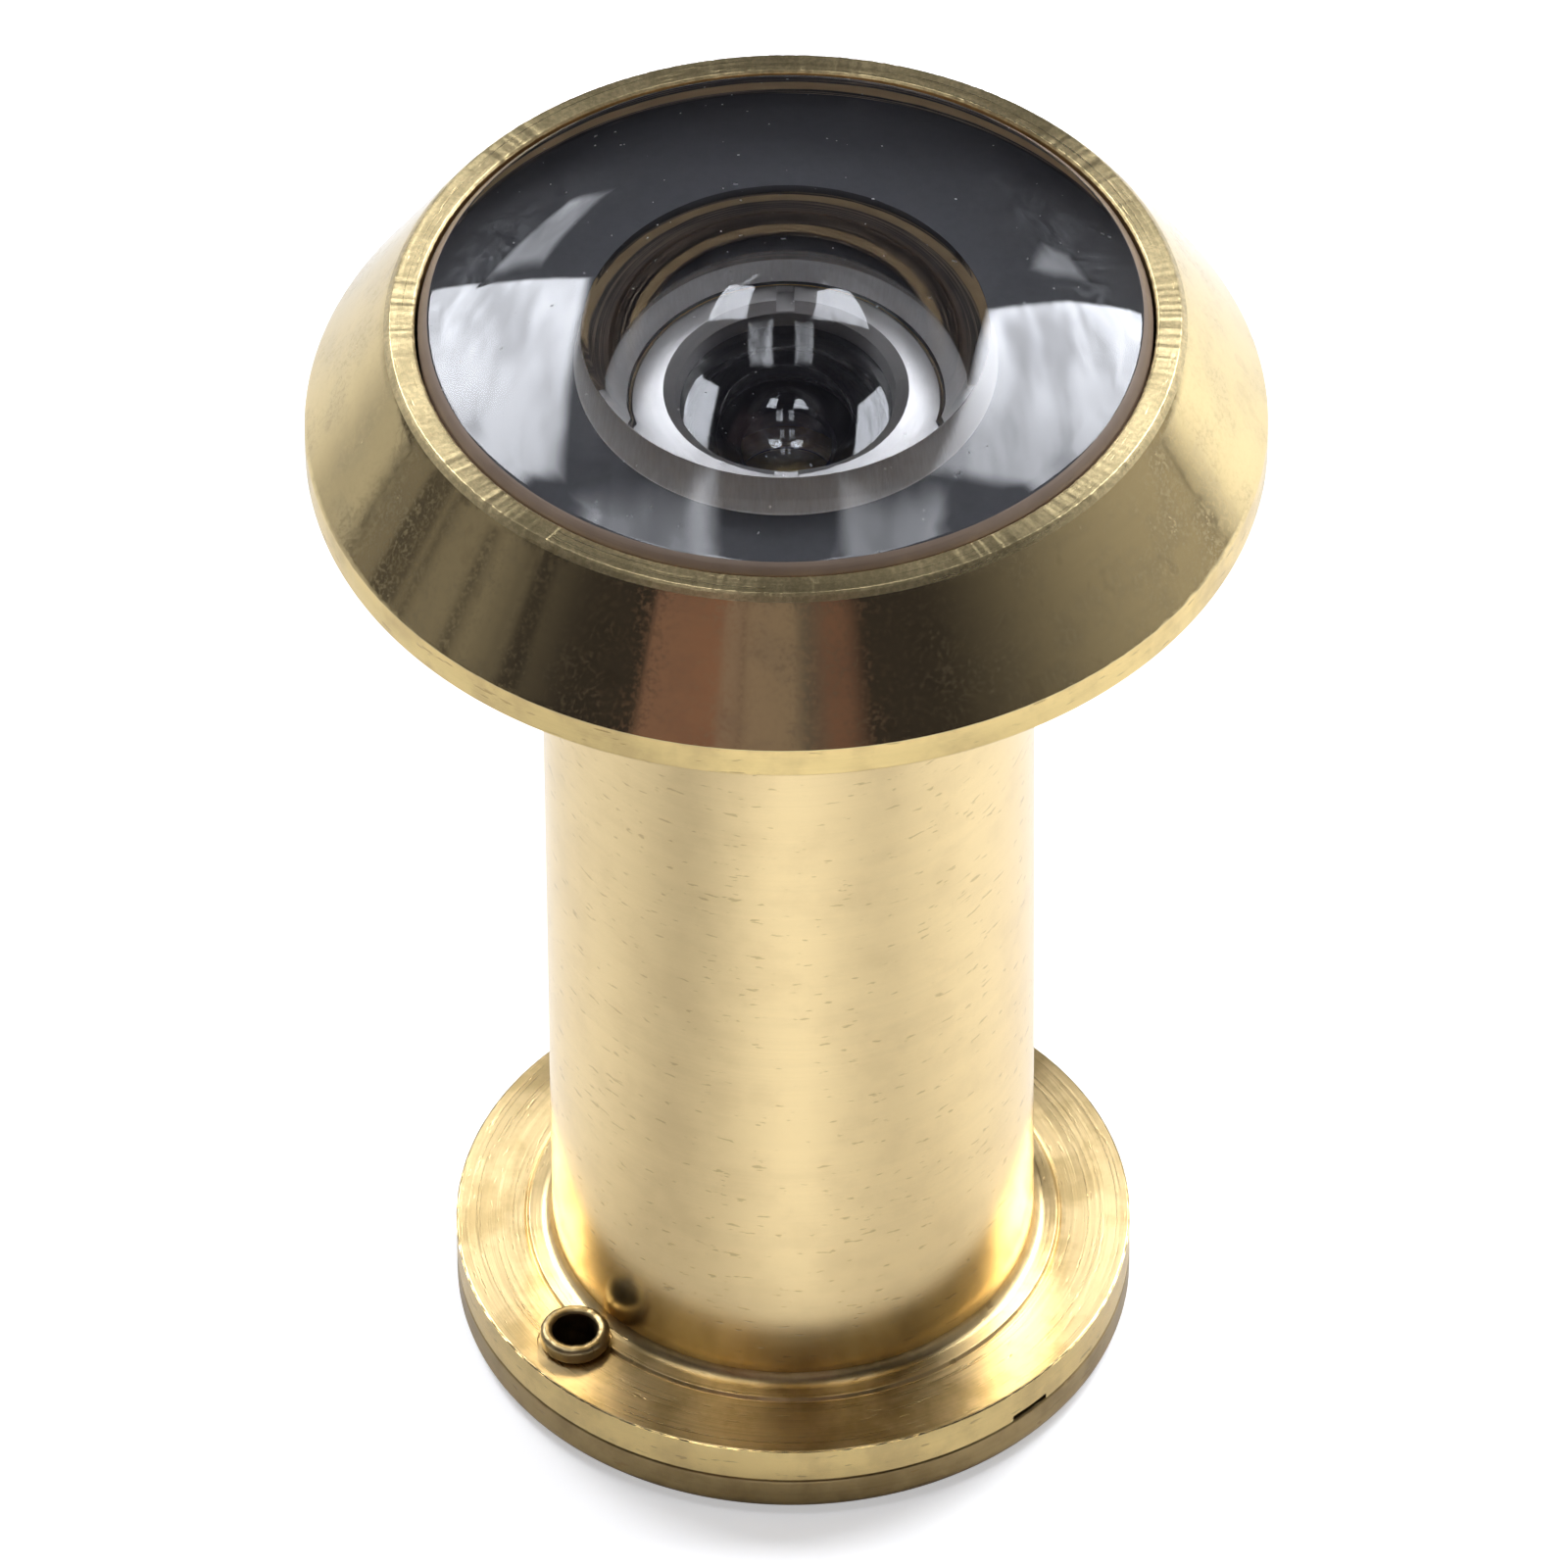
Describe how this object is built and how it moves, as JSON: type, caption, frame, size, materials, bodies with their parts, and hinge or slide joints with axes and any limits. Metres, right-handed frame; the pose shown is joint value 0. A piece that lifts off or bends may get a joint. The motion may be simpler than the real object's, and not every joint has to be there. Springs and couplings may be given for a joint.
{
  "type": "door viewer",
  "caption": "Wide-angle brass door viewer for a 16 mm hole, with a bevelled street-side head, a screw-adjusted barrel and a riveted swing cover.",
  "frame": {"origin": "on the optical axis, level with the lowest point, the rivet head under the swing cover", "axes": "+Z along the optical axis from the room side to the street side; the rivet lies at 219.5 degrees from +X, and -Y is the side that the picture is taken from"},
  "size_m": [0.03, 0.03, 0.0442],
  "materials": {
    "turned_brass": "turned, fine circumferential marks",
    "satin_brass": "satin, finely turned",
    "cover_brass": "satin, slightly dull",
    "rivet_brass": "dull, rolled",
    "inner_brass": "turned, unpolished",
    "plated_brass": "nickel-plated, turned",
    "lens_glass": "polished, ground edges",
    "black_coat": "black, semi-matt",
    "gasket_rubber": "matt"
  },
  "bodies": {
    "sleeve": {"sleeve": "satin_brass", "eyepiece_ring": "inner_brass", "eyepiece_lens": "lens_glass", "eyepiece_gasket": "gasket_rubber"},
    "lens_pack": {"second_lens": "lens_glass", "lens_spacer": "black_coat", "third_lens": "lens_glass"},
    "head": {"head": "turned_brass", "front_lens": "lens_glass", "lens_mask": "black_coat", "lens_retainer": "plated_brass"},
    "cover": {"swing_cover": "cover_brass", "cover_rivet": "rivet_brass"}
  },
  "joints": [
    {"name": "head_travel", "type": "slide", "parent": "sleeve", "child": "lens_pack", "axis": [0, 0, 1], "range_m": [0, 0.0195]},
    {"name": "head_screw", "type": "hinge", "parent": "lens_pack", "child": "head", "pos_m": [0, 0, 0.03], "axis": [0, 0, 1], "range_deg": [0, 9360]},
    {"name": "cover_swing", "type": "hinge", "parent": "sleeve", "child": "cover", "pos_m": [-0.00702, -0.00579, 0.0016], "axis": [0, 0, 1], "continuous": true}
  ],
  "couplings": [
    {"joint": "head_screw", "follows": "head_travel", "rad_per_m": 8377.6}
  ]
}
